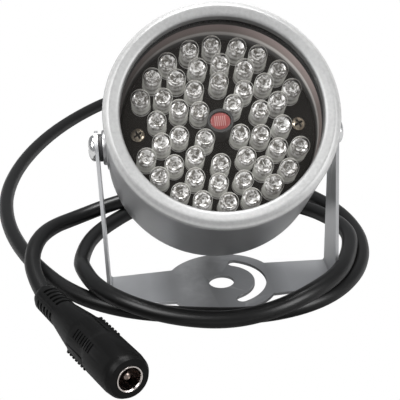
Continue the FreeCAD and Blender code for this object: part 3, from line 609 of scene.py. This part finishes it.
# The route of the cord in millimetres: out of the gland, over its own loops to the far bend,
# round the left, twice past the front of the bracket, and out to the jack.
ROUTE = [
    (0, 20.93, 26.75), (0, 30.2, 19.1), (0.3, 42, 12.2), (0.5, 55, 8.3), (0.6, 69.5, 7.8),
    (1.5, 84, 5.6), (5, 98.5, 2.8), (10, 112.5, 2.3), (13.5, 127.5, 2.3), (11, 143.5, 2.3),
    (1, 155, 2.3), (-13.4, 159.3, 2.3), (-27.8, 155, 2.3), (-37.93, 143.73, 2.3), (-48.64, 127.49, 2.3),
    (-56.78, 109.46, 2.3), (-62.39, 90.23, 2.3), (-65.01, 70.82, 2.3), (-64.26, 52.48, 2.3),
    (-60.18, 33.74, 2.3), (-52.61, 15.13, 2.3), (-42.6, -1.54, 2.3), (-28.93, -12.81, 2.3),
    (-11.09, -18.63, 2.3), (7.3, -21.77, 2.3), (22.66, -18.17, 2.3), (34.05, -9.39, 2.3),
    (41.43, 3.6, 2.3), (43.93, 18.44, 2.3), (41.88, 33.22, 2.3), (36.16, 46.09, 2.3),
    (27.51, 58.61, 2.3), (13.22, 65.96, 2.3), (-2.04, 63.81, 2.3), (-14.81, 54.83, 2.3),
    (-26.11, 44.69, 2.3), (-36.46, 31.57, 2.3), (-39.7, 16.32, 2.3), (-38.15, 3.81, 5.8),
    (-34.68, -7.9, 7), (-26.53, -17.91, 7), (-15.29, -23.73, 5.5), (-1.6, -26.81, 4.8),
    (10.73, -25.44, 5.8), (21.76, -20.05, 7), (31.12, -11.34, 7), (36.71, 0.78, 6.2),
    (39.93, 13.41, 5.8), (37.77, 26.31, 4.2), (31.42, 39.9, 2.3), (19.07, 48.38, 2.3),
    (4.57, 50.04, 2.9), (-7.67, 48.93, 7.3), (-19.21, 47.16, 7.4), (-30.14, 44.97, 6.2),
    (-40.75, 39, 5.4), (-48.6, 29.08, 7.5), (-52.67, 17.55, 8.2), (-52.93, 4.85, 6),
    (-48.69, -5.67, 4.15),
]


def curve_along(name, points, radius):
    curve = bpy.data.curves.new(name, "CURVE")
    curve.dimensions = "3D"
    spline = curve.splines.new("NURBS")
    spline.points.add(len(points) - 1)
    for control, place in zip(spline.points, points):
        control.co = (*(Vector(place) * MM), 1)
    spline.order_u = 3
    spline.use_endpoint_u = True
    curve.resolution_u = 12
    curve.bevel_depth = radius * MM
    curve.bevel_resolution = 6
    curve.use_fill_caps = True
    return curve


def mesh_of_curve(curve):
    holder = bpy.data.objects.new("holder", curve)
    bpy.context.scene.collection.objects.link(holder)
    bpy.context.view_layer.update()
    view = holder.evaluated_get(bpy.context.evaluated_depsgraph_get())
    mesh = bpy.data.meshes.new_from_object(view)
    bpy.data.objects.remove(holder)
    return mesh


def lay_cord(name, points):
    line = [v.co.copy() for v in mesh_of_curve(curve_along("CordLine", points, 0)).vertices]
    mesh = mesh_of_curve(curve_along("CordTube", points, CORD_RADIUS))
    mesh.materials.clear()
    mesh.materials.append(CORD_BLACK)
    mesh.polygons.foreach_set("use_smooth", [True] * len(mesh.polygons))
    mesh.set_sharp_from_angle(angle=math.radians(50))
    cord = bpy.data.objects.new(name, mesh)
    bpy.context.scene.collection.objects.link(cord)
    length = sum((b - a).length for a, b in zip(line, line[1:]))
    return cord, line, length


# One cord, drawn as the stretch that drops from the gland and the stretch that stays on the floor.
# They meet half way between two points of the route, where the curve runs along the route's leg.
DROP_POINTS = 6
MEETING = tuple((Vector(ROUTE[DROP_POINTS - 1]) + Vector(ROUTE[DROP_POINTS])) / 2)
DROP, DROP_LINE, DROP_LENGTH = lay_cord("power_cord_drop", ROUTE[:DROP_POINTS] + [MEETING])
CORD, CORD_LINE, CORD_LENGTH = lay_cord("power_cord", [MEETING] + ROUTE[DROP_POINTS:])
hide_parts("lead_drop")
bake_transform(DROP)
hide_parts("lead")
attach(CORD, "bracket")


# The front ring: a shallow dished face, a rolled crest and an outer bevel, with its inner lip.
def front_ring():
    outline = [
        (24.80, 2.6), (24.80, 1.20), (24.84, 0.95), (24.98, 0.72), (25.25, 0.52), (25.7, 0.36),
        (26.3, 0.24), (26.85, 0.08), (27.2, 0.01), (27.42, 0.0), (27.62, 0.06), (28.3, 0.46),
        (28.75, 0.78), (28.93, 0.98), (29.0, 1.25), (29.0, 2.8), (27.5, 2.8), (27.5, 8.0),
        (26.3, 8.0), (26.3, 2.6),
    ]
    ring = turned_piece("front_ring_turned", outline, HEAD, RING_METAL, 160, ring=True)
    stand_for(ring, "head", "ring_aluminium", "front_ring")


# One side boss with its collar, along the pivot.
def side_boss(bm, side):
    outline = [
        (2.0, 23.9), (2.0, 29.9), (4.2, 29.9), (4.5, 29.75), (4.6, 29.4), (4.6, 29.0),
        (5.6, 28.9), (5.9, 28.6), (5.9, 28.0), (4.6, 28.0), (4.6, 23.9),
    ]
    spin_outline(bm, outline, 64, ring=True)
    turn = Matrix.Rotation(side * QUARTER_TURN, 4, "Y")
    bm.transform(Matrix.Translation((0, 0, PIVOT_DEPTH)) @ turn)
    close_up(bm)


# The lamp body: one drawn cup with a rolled rear edge, a faint turned line and two side bosses.
def housing():
    outline = [
        (25.2, 6.0), (26.1, 6.0), (26.1, 8.4), (27.6, 8.4), (27.6, 3.1), (27.75, 3.0), (28.8, 3.0),
        (28.94, 3.14), (28.94, 33.0), (28.9, 34.6), (28.75, 35.4), (28.4, 36.1), (27.9, 36.6),
        (27.2, 36.95), (26.44, 37.1), (12.0, 37.1), (11.8, 37.0), (11.6, 37.1), (3.4, 37.1),
        (3.4, 34.6), (26.3, 34.6), (26.3, 18.0), (25.2, 18.0),
    ]
    body = turned_piece("housing_cup", outline, HEAD, HOUSING_METAL, 160, ring=True)
    stand_for(body, "head", "housing_aluminium", "housing")
    bm = bmesh.new()
    for side in (-1, 1):
        bm.from_mesh(mesh_from(side_boss, side))
    bosses = piece("side_bosses", bm, HEAD, HOUSING_METAL)
    stand_for(bosses, "head", "housing_aluminium")


# The liner reaches from the window to just before the board.
LINER_FRONT = 4.7
LINER_REAR = BOARD_DEPTH - 0.05


# The cup's inner wall as the window shows it: brown grey near the ring, a pale turn, then dark, in
# bands partly of painted light and shade; a painted sheen brightest at the upper right, and a little
# painted glow.
def liner_finish():
    material = finish("inner_wall_sheen", (0.1, 0.1, 0.1), 0.4, 0.0, bump=0.05)
    tree = material.node_tree
    depth = share_of(tree, axes_of(tree, head_place(tree))["Z"], LINER_FRONT, LINER_REAR - LINER_FRONT)
    # Bands by depth down the wall, partly painted light and shade.
    bands_with_painted_light = ramp_of(tree, depth, [
        (0.0, 0.02), (0.08, (0.05, 0.042, 0.04)), (0.14, (0.16, 0.13, 0.125)), (0.5, (0.13, 0.107, 0.1)),
        (0.58, (0.3, 0.29, 0.28)), (0.68, (0.22, 0.21, 0.2)), (0.75, 0.05), (1.0, 0.012),
    ])
    upper_right = (Vector((-0.75, 0, 0)) - FACE_UP * 0.66).normalized()
    # Painted sheen: brightest on the faces that look to the upper right.
    sheen = ramp_of(tree, facing_of(tree, upper_right), [
        (0.0, 0.0), (0.3, 0.1), (0.75, 0.4), (0.9, 0.5), (1.0, 1.0),
    ])
    bright = scale_colour(tree, multiply_colour(tree, bands_with_painted_light, sheen), gain=2.2)
    paint_glow_with(tree, shader_of(material), bright, strength=0.4)
    return material


# The window pane, the black board behind the lamps, and the liner that shows the inner wall with
# painted light and shade.
def window_and_board():
    outline = [(0, 2.6), (25.8, 2.6), (26.1, 2.9), (26.1, 4.3), (25.8, 4.6), (0, 4.6)]
    pane = turned_piece("window_pane", outline, HEAD, WINDOW_GLASS, 96)
    stand_for(pane, "head", "glass", "front_glass")
    outline = [(0, 15.5), (24.75, 15.5), (24.9, 15.65), (24.9, 16.95), (24.75, 17.1), (0, 17.1)]
    board = turned_piece("lamp_board", outline, HEAD, BOARD_BLACK, 96)
    stand_for(board, "head", "board_black", "led_board")
    outline = [(25.02, LINER_FRONT), (25.18, LINER_FRONT), (25.18, LINER_REAR), (25.02, LINER_REAR)]
    liner = turned_piece("inner_wall", outline, HEAD, liner_finish(), 128, ring=True)
    stand_for(liner, "head", "housing_aluminium")


# One clear LED: a flanged barrel under a round dome.
def led_lens(bm):
    outline = [
        (0, 15.5), (2.46, 15.5), (2.46, 14.62), (2.4, 14.5), (2.36, 14.3), (2.42, 14.1), (2.42, 8.9),
        (2.38, 8.45), (2.24, 7.85), (1.95, 7.3), (1.52, 6.85), (0.95, 6.52), (0.4, 6.4), (0, 6.38),
    ]
    spin_outline(bm, outline, 24)
    close_up(bm)


# Inside the LED, as the dome enlarges it: the reflector dish with its stepped rim, the pale core of
# the barrel, the die in the middle and the bond wire across to the rim.
def led_inside(bm):
    dish = [
        (0, 9.7), (0.5, 9.65), (0.7, 9.3), (1.1, 8.75), (1.5, 8.4), (1.64, 8.35), (1.74, 8.48),
        (1.66, 8.95), (1.7, 9.3), (2.0, 9.35), (2.12, 9.45), (2.14, 9.7), (1.98, 9.9), (1.9, 10.6),
        (2.14, 10.8), (2.2, 11.0), (2.0, 11.4), (1.5, 11.9), (1.4, 15.3), (0, 15.3),
    ]
    spin_outline(bm, dish, 20)
    die = ((-0.26, -0.26, 9.45), (0.26, 0.26, 9.75))
    bond_wire = ((0.1, -0.06, 8.32), (1.45, 0.06, 8.44))
    block(bm, *die)
    block(bm, *bond_wire)
    close_up(bm)


# Where the LEDs stand: the CAD node of each row, its radius and the angles of its LEDs.
def led_rows():
    outer = [middle + 17.05 * k for middle in (90, -90) for k in range(-4, 5)]
    second = [83.7 + 22.5 * k for k in range(16)]
    third = [85.7 + 36 * k for k in range(10)]
    inner = [49.1, -33.9, -135.9, 146.1]
    return [
        ("led_row_outer", 20.65, outer),
        ("led_row_second", 15.70, second),
        ("led_row_third", 10.75, third),
        ("led_row_inner", 5.80, inner),
    ]


# The most that an LED leans, and the turn from one LED to the next, in radians.
LED_LEAN = math.radians(1.6)
GOLDEN_ANGLE = 2.39996


# Each LED leans a little about its foot on the board and is turned, both its own way.
def led_place(count, radius, angle):
    t = math.radians(angle)
    lean = Matrix.Rotation(LED_LEAN * math.sin(count * 2.4), 4, "X")
    lean = lean @ Matrix.Rotation(LED_LEAN * math.cos(count * 3.1), 4, "Y")
    foot = Matrix.Translation((0, 0, BOARD_DEPTH))
    spot = Matrix.Translation((radius * math.cos(t), -radius * math.sin(t), 0))
    return spot @ foot @ lean @ foot.inverted() @ Matrix.Rotation(count * GOLDEN_ANGLE, 4, "Z")


def leds():
    lens = mesh_from(led_lens)
    inside = mesh_from(led_inside)
    count = 0
    for row, radius, angles in led_rows():
        domes = bmesh.new()
        cups = bmesh.new()
        for angle in angles:
            place = led_place(count, radius, angle)
            for target, pattern in ((domes, lens), (cups, inside)):
                before = len(target.verts)
                target.from_mesh(pattern)
                target.verts.ensure_lookup_table()
                bmesh.ops.transform(target, matrix=place, verts=target.verts[before:])
            count += 1
        dome_piece = piece(row + "_lenses", domes, HEAD, LED_CLEAR, 40)
        stand_for(dome_piece, "head", "led_clear", row)
        cup_piece = piece(row + "_cups", cups, HEAD, DISH_SILVER)
        stand_for(cup_piece, "head", "led_clear")


# The pale track on the sensor: radians of its wave to the metre, for lines half a millimetre apart.
TRACK_WAVES = 12600.0

# How many times wider than high the cell and the outside of its sleeve are.
CELL_OVAL = 1.14
SLEEVE_OVAL = 1.06


# The sensor's red face with its pale track.
def photocell_finish():
    material = bpy.data.materials.new("photocell_red")
    material.use_nodes = True
    tree = material.node_tree
    shader = shader_of(material)
    axes = axes_of(tree, head_place(tree))
    wave = math_node(tree, "SINE", math_node(tree, "MULTIPLY", axes["X"], TRACK_WAVES), 0.0)
    line = math_node(tree, "GREATER_THAN", wave, 0.25)
    in_height = math_node(tree, "LESS_THAN", math_node(tree, "ABSOLUTE", axes["Y"], 0.0), 1.3 * MM)
    in_width = math_node(tree, "LESS_THAN", math_node(tree, "ABSOLUTE", axes["X"], 0.0), 1.5 * MM)
    mask = math_node(tree, "MULTIPLY", math_node(tree, "MULTIPLY", line, in_height), in_width)
    grain = use_group(tree, GRAIN, Colour=(0.2, 0.04, 0.038, 1), Roughness=0.3, Variation=0.1)
    colour = blend_colour(tree, mask, grain.outputs["Colour"], (0.32, 0.19, 0.18, 1))
    join(tree, colour, shader.inputs["Base Color"])
    join(tree, grain.outputs["Roughness"], shader.inputs["Roughness"])
    return material


# The light sensor: a red cell on two legs, in a dark sleeve.
def light_sensor():
    bm = bmesh.new()
    outline = [(0, 7.9), (2.05, 7.9), (2.2, 7.96), (2.28, 8.12), (2.28, 9.9), (0, 9.9)]
    spin_outline(bm, outline, 48)
    close_up(bm)
    for side in (-1, 1):
        bmesh.ops.create_cone(
            bm,
            cap_ends=True,
            segments=10,
            radius1=0.3,
            radius2=0.3,
            depth=5.6,
            matrix=Matrix.Translation((side * 1.3, 0, 12.7)),
        )
    bm.transform(Matrix.Diagonal((CELL_OVAL, 1, 1, 1)))
    cell = piece("photocell_disc", bm, HEAD, photocell_finish())
    stand_for(cell, "head", "photocell_red", "photocell")
    bm = bmesh.new()
    outline = [(2.33, 7.7), (2.43, 7.6), (3.02, 7.6), (3.15, 7.75), (3.15, 15.5), (2.33, 15.5)]
    spin_outline(bm, outline, 48, ring=True)
    close_up(bm)
    for vert in bm.verts:
        vert.co.x *= CELL_OVAL if vert.co.xy.length < 2.5 else SLEEVE_OVAL
    sleeve = piece("photocell_tube", bm, HEAD, SLEEVE_GREY)
    stand_for(sleeve, "head", "rubber_black", "photocell_sleeve")


# The crosses in the screws' heads: span, width of the slots and depth, and their turn in radians.
SIDE_CROSS = (3.6, 0.85, 1.1)
BOARD_CROSS = (2.3, 0.55, 0.75)
CROSS_TURN = 0.5


# A pan head screw: a turned blank with a crossed recess cut into its top, painted dark as painted shade.
def crossed_screw(name, outline, place, cross, material, steps):
    screw = turned_piece(name, outline, place, material, steps)
    top = outline[-1][1]
    span, width, sunk = cross
    cutter = bmesh.new()
    for x, y, spare in ((span, width, 0), (width, span, 0.01)):
        block(cutter, (-x / 2, -y / 2, top - sunk - spare), (x / 2, y / 2, top + sunk + spare))
    tool = piece("cross_tool", cutter, place @ Matrix.Rotation(CROSS_TURN, 4, "Z"), material)
    cut = screw.modifiers.new("Cross", "BOOLEAN")
    cut.object = tool
    cut.operation = "DIFFERENCE"
    cut.solver = "EXACT"
    cut.use_self = True
    bpy.context.view_layer.update()
    view = screw.evaluated_get(bpy.context.evaluated_depsgraph_get())
    cleaned = bpy.data.meshes.new_from_object(view)
    screw.modifiers.clear()
    screw.data = cleaned
    cleaned.set_sharp_from_angle(angle=math.radians(30))
    # Painted shade: faces inside the cross get the dark recess material.
    cleaned.materials.append(RECESS_PAINTED_SHADE)
    back = (TO_METRES @ place).inverted()
    for face in cleaned.polygons:
        spot = back @ face.center
        in_shaded_recess = top - sunk - 0.05 < spot.z < top - 0.2
        if in_shaded_recess and math.hypot(spot.x, spot.y) < span / 2 + 0.02:
            face.material_index = 1
    bpy.data.objects.remove(tool)
    return screw


# How far out from the middle the screws' heads and the washers sit, and how deep the board
# screws' heads lie behind the ring's crest.
SIDE_SCREW_SEAT = 31.76
WASHER_SEAT = 29.9
BOARD_SCREW_SEAT = 20.64
BOARD_SCREW_TOP = 14.2


# A place on the pivot, looking out from the lamp.
def pivot_place(side, distance):
    turn = Matrix.Rotation(side * QUARTER_TURN, 4, "Y")
    return Matrix.Translation((side * distance, 0, PIVOT_HEIGHT)) @ turn


def side_screws():
    screw_outline = [
        (0, -5.6), (1.9, -5.6), (1.97, -5.4), (1.97, 0), (3.25, 0), (3.4, 0.15), (3.4, 0.5),
        (3.32, 0.8), (3.1, 1.12), (2.7, 1.42), (2.1, 1.66), (1.4, 1.79), (0.7, 1.84), (0, 1.85),
    ]
    washer_outline = [
        (2.1, 0.06), (2.2, 0), (3.5, 0), (3.6, 0.1), (3.6, 0.86), (3.5, 0.96), (2.2, 0.96), (2.1, 0.9),
    ]
    for side, tag in ((-1, "left"), (1, "right")):
        name = "side_screw_" + tag
        place = pivot_place(side, SIDE_SCREW_SEAT)
        screw = crossed_screw(name + "_head", screw_outline, place, SIDE_CROSS, SCREW_CHROME, 48)
        stand_for(screw, "head", "chrome_screw", name)
        place = pivot_place(side, WASHER_SEAT)
        ring = turned_piece("side_washer_" + tag, washer_outline, place, WASHER_DARK, 48, ring=True)
        stand_for(ring, "head", "washer_dark", "washer_" + tag)


# The first screw stands for the CAD node of both.
def board_screws():
    outline = [
        (0, -8), (1.1, -8), (1.22, -7.8), (1.22, -1.3), (1.8, -1.3), (1.9, -1.15), (1.9, -0.75),
        (1.78, -0.4), (1.45, -0.14), (0.9, -0.03), (0, 0),
    ]
    for side, tag, nodes in ((-1, "left", ["board_screws"]), (1, "right", [])):
        spot = Matrix.Translation((side * BOARD_SCREW_SEAT, 0, BOARD_SCREW_TOP))
        place = HEAD @ spot @ Matrix.Rotation(math.pi, 4, "X")
        screw = crossed_screw("board_screw_" + tag, outline, place, BOARD_CROSS, SCREW_BRASS, 32)
        stand_for(screw, "head", "brass", *nodes)


def bracket():
    plate = copy_of("bracket", "bracket_plate", BRACKET_METAL)
    soften(plate, 0.14, 45)
    stand_for(plate, "bracket", "bracket_steel", "bracket")


# The rubber gland behind the lamp: a flange inside, a collar outside and a ribbed taper.
def gland():
    outline = [
        (2.15, 33.2), (4.7, 33.2), (4.8, 33.3), (4.8, 34.6), (3.4, 34.6), (3.4, 37.1), (4.5, 37.1),
        (4.6, 37.2), (4.6, 38.1), (4.45, 38.3), (3.95, 38.35),
    ]
    for rib in range(6):
        z = 39.0 + 1.85 * rib
        r = 3.9 - 0.9 * (z - 38.3) / 11.7
        outline += [(r, z), (r + 0.02, z + 1.0)]
        outline += [(r - 0.45, z + 1.1), (r - 0.47, z + 1.7), (r - 0.07, z + 1.8)]
    outline += [(3.0, 49.7), (2.85, 50.0), (2.15, 50.0)]
    boot = turned_piece("gland_boot", outline, HEAD, RUBBER_BLACK, 48, ring=True)
    stand_for(boot, "head", "rubber_black", "cord_grommet")


front_ring()
housing()
window_and_board()
leds()
light_sensor()
side_screws()
board_screws()
bracket()
gland()


# The jack's two side grips, one across from the other: degrees about its axis, and their sizes.
GRIP_MIDDLES = (32, 212)
GRIP_RADIUS = 5.52
GRIP_HALF_WIDTH = math.radians(34)
GRIP_TEETH = 7
TOOTH_START = 25.6
TOOTH_PITCH = 1.62


# A side grip: a low raised pad with small blunt teeth along its middle.
def side_grip(bm, middle):
    r = GRIP_RADIUS
    start = middle - GRIP_HALF_WIDTH
    pad = [
        (r - 0.5, 26.5), (r + 0.1, 26.5), (r + 0.2, 26.8), (r + 0.2, 35.8), (r + 0.1, 36.1),
        (r - 0.5, 36.1),
    ]
    corners = [bm.verts.new((a * math.cos(start), a * math.sin(start), z)) for a, z in pad]
    cap = bm.faces.new(corners)
    bmesh.ops.spin(
        bm,
        geom=corners + list(cap.edges) + [cap],
        cent=(0, 0, 0),
        axis=(0, 0, 1),
        angle=2 * GRIP_HALF_WIDTH,
        steps=10,
    )
    for tooth in range(GRIP_TEETH):
        spot = Matrix.Translation((r + 0.25, 0, TOOTH_START + TOOTH_PITCH * tooth))
        bmesh.ops.create_cone(
            bm,
            cap_ends=True,
            segments=8,
            radius1=0.75,
            radius2=0.25,
            depth=0.75,
            matrix=Matrix.Rotation(middle, 4, "Z") @ spot @ Matrix.Rotation(QUARTER_TURN, 4, "Y"),
        )


# The jack: a slotted strain relief, a neck that widens to a barrel with side grips, and the socket.
def jack():
    axis = Vector((0.4266, -0.9026, 0.0571)).normalized()
    side = Vector((0.9041, 0.4273, 0)).normalized()
    turn = Matrix((side, axis.cross(side), axis)).transposed().to_4x4()
    place = Matrix.Translation(ROUTE[-1]) @ turn
    moulding = copy_of("jack_body", "jack_moulding", JACK_BLACK)
    soften(moulding, 0.15, 40)
    stand_for(moulding, "bracket", "cord_black", "jack_body")
    bm = bmesh.new()
    for middle in GRIP_MIDDLES:
        side_grip(bm, math.radians(middle))
    bmesh.ops.recalc_face_normals(bm, faces=bm.faces)
    teeth = piece("jack_grip_teeth", bm, place, JACK_BLACK)
    stand_for(teeth, "bracket", "cord_black")
    outline = [
        (2.85, 40.8), (3.34, 40.8), (3.34, 50.4), (3.28, 50.55), (3.15, 50.58), (2.98, 50.5),
        (2.86, 50.3),
    ]
    sleeve = turned_piece("jack_socket_sleeve", outline, place, NICKEL, 48, ring=True)
    stand_for(sleeve, "bracket", "nickel", "jack_sleeve")
    outline = [(0, 42.0), (1.0, 42.0), (1.0, 48.7), (0.85, 49.1), (0.5, 49.3), (0, 49.34)]
    pin = turned_piece("jack_socket_pin", outline, place, SHADED_PIN_NICKEL, 24)
    stand_for(pin, "bracket", "nickel", "jack_pin")


jack()

paint_node("jack_insert", SOCKET_BROWN)
paint_node("glass_gasket", RUBBER_BLACK)
paint_node("board_standoffs", PILLAR_BRASS)
paint_node("board_resistors", RESISTOR_BLUE)
paint_node("board_transistor", BOARD_BLACK)
paint_node("inner_cord", CORD_BLACK)
paint_node("core_wire_red", WIRE_RED)
paint_node("core_wire_black", CORD_BLACK)


# Plain white floor: pure white to the camera, a mid grey to the reflections and the light.
def split_by_ray(tree, seen, other):
    path = node(tree, "ShaderNodeLightPath")
    mix = node(tree, "ShaderNodeMixShader")
    join(tree, path.outputs["Is Camera Ray"], mix.inputs[0])
    join(tree, other.outputs[0], mix.inputs[1])
    join(tree, seen.outputs[0], mix.inputs[2])
    return mix.outputs[0]


def floor():
    bm = bmesh.new()
    bmesh.ops.create_grid(bm, x_segments=2, y_segments=2, size=3000)
    material = finish("white_floor", (0.3, 0.3, 0.3), 0.9, 0.0, bump=0.0, variation=0.01, specular=0.0)
    tree = material.node_tree
    glow = node(tree, "ShaderNodeEmission")
    surface = split_by_ray(tree, glow, shader_of(material))
    join(tree, surface, tree.nodes["Material Output"].inputs["Surface"])
    piece("floor", bm, FLAT, material)


def soft_box(name, place, target, size, power):
    light = bpy.data.lights.new(name, "AREA")
    light.shape = "RECTANGLE"
    light.size = size[0]
    light.size_y = size[1]
    light.energy = power
    thing = bpy.data.objects.new(name, light)
    away = Vector(place) - Vector(target)
    thing.matrix_world = Matrix.Translation(place) @ away.to_track_quat("Z", "Y").to_matrix().to_4x4()
    bpy.context.scene.collection.objects.link(thing)


def studio():
    world = bpy.data.worlds.new("Studio")
    bpy.context.scene.world = world
    world.use_nodes = True
    tree = world.node_tree
    sky = tree.nodes["Background"]
    sky.inputs["Color"].default_value = (0.95, 0.97, 1, 1)
    sky.inputs["Strength"].default_value = 0.3
    white = node(tree, "ShaderNodeBackground")
    white.inputs["Color"].default_value = (1, 1, 1, 1)
    join(tree, split_by_ray(tree, white, sky), tree.nodes["World Output"].inputs["Surface"])
    soft_box("KeyBox", (-0.45, -0.3, 0.6), (0, 0, 0.04), (0.5, 0.4), 6)
    soft_box("SideBox", (0.55, -0.45, 0.35), (0, 0, 0.04), (0.3, 0.5), 5)
    soft_box("TopBox", (0.05, 0.15, 0.8), (0, 0, 0.04), (0.5, 0.3), 9)
    bpy.context.scene.view_settings.view_transform = "Standard"


floor()
studio()
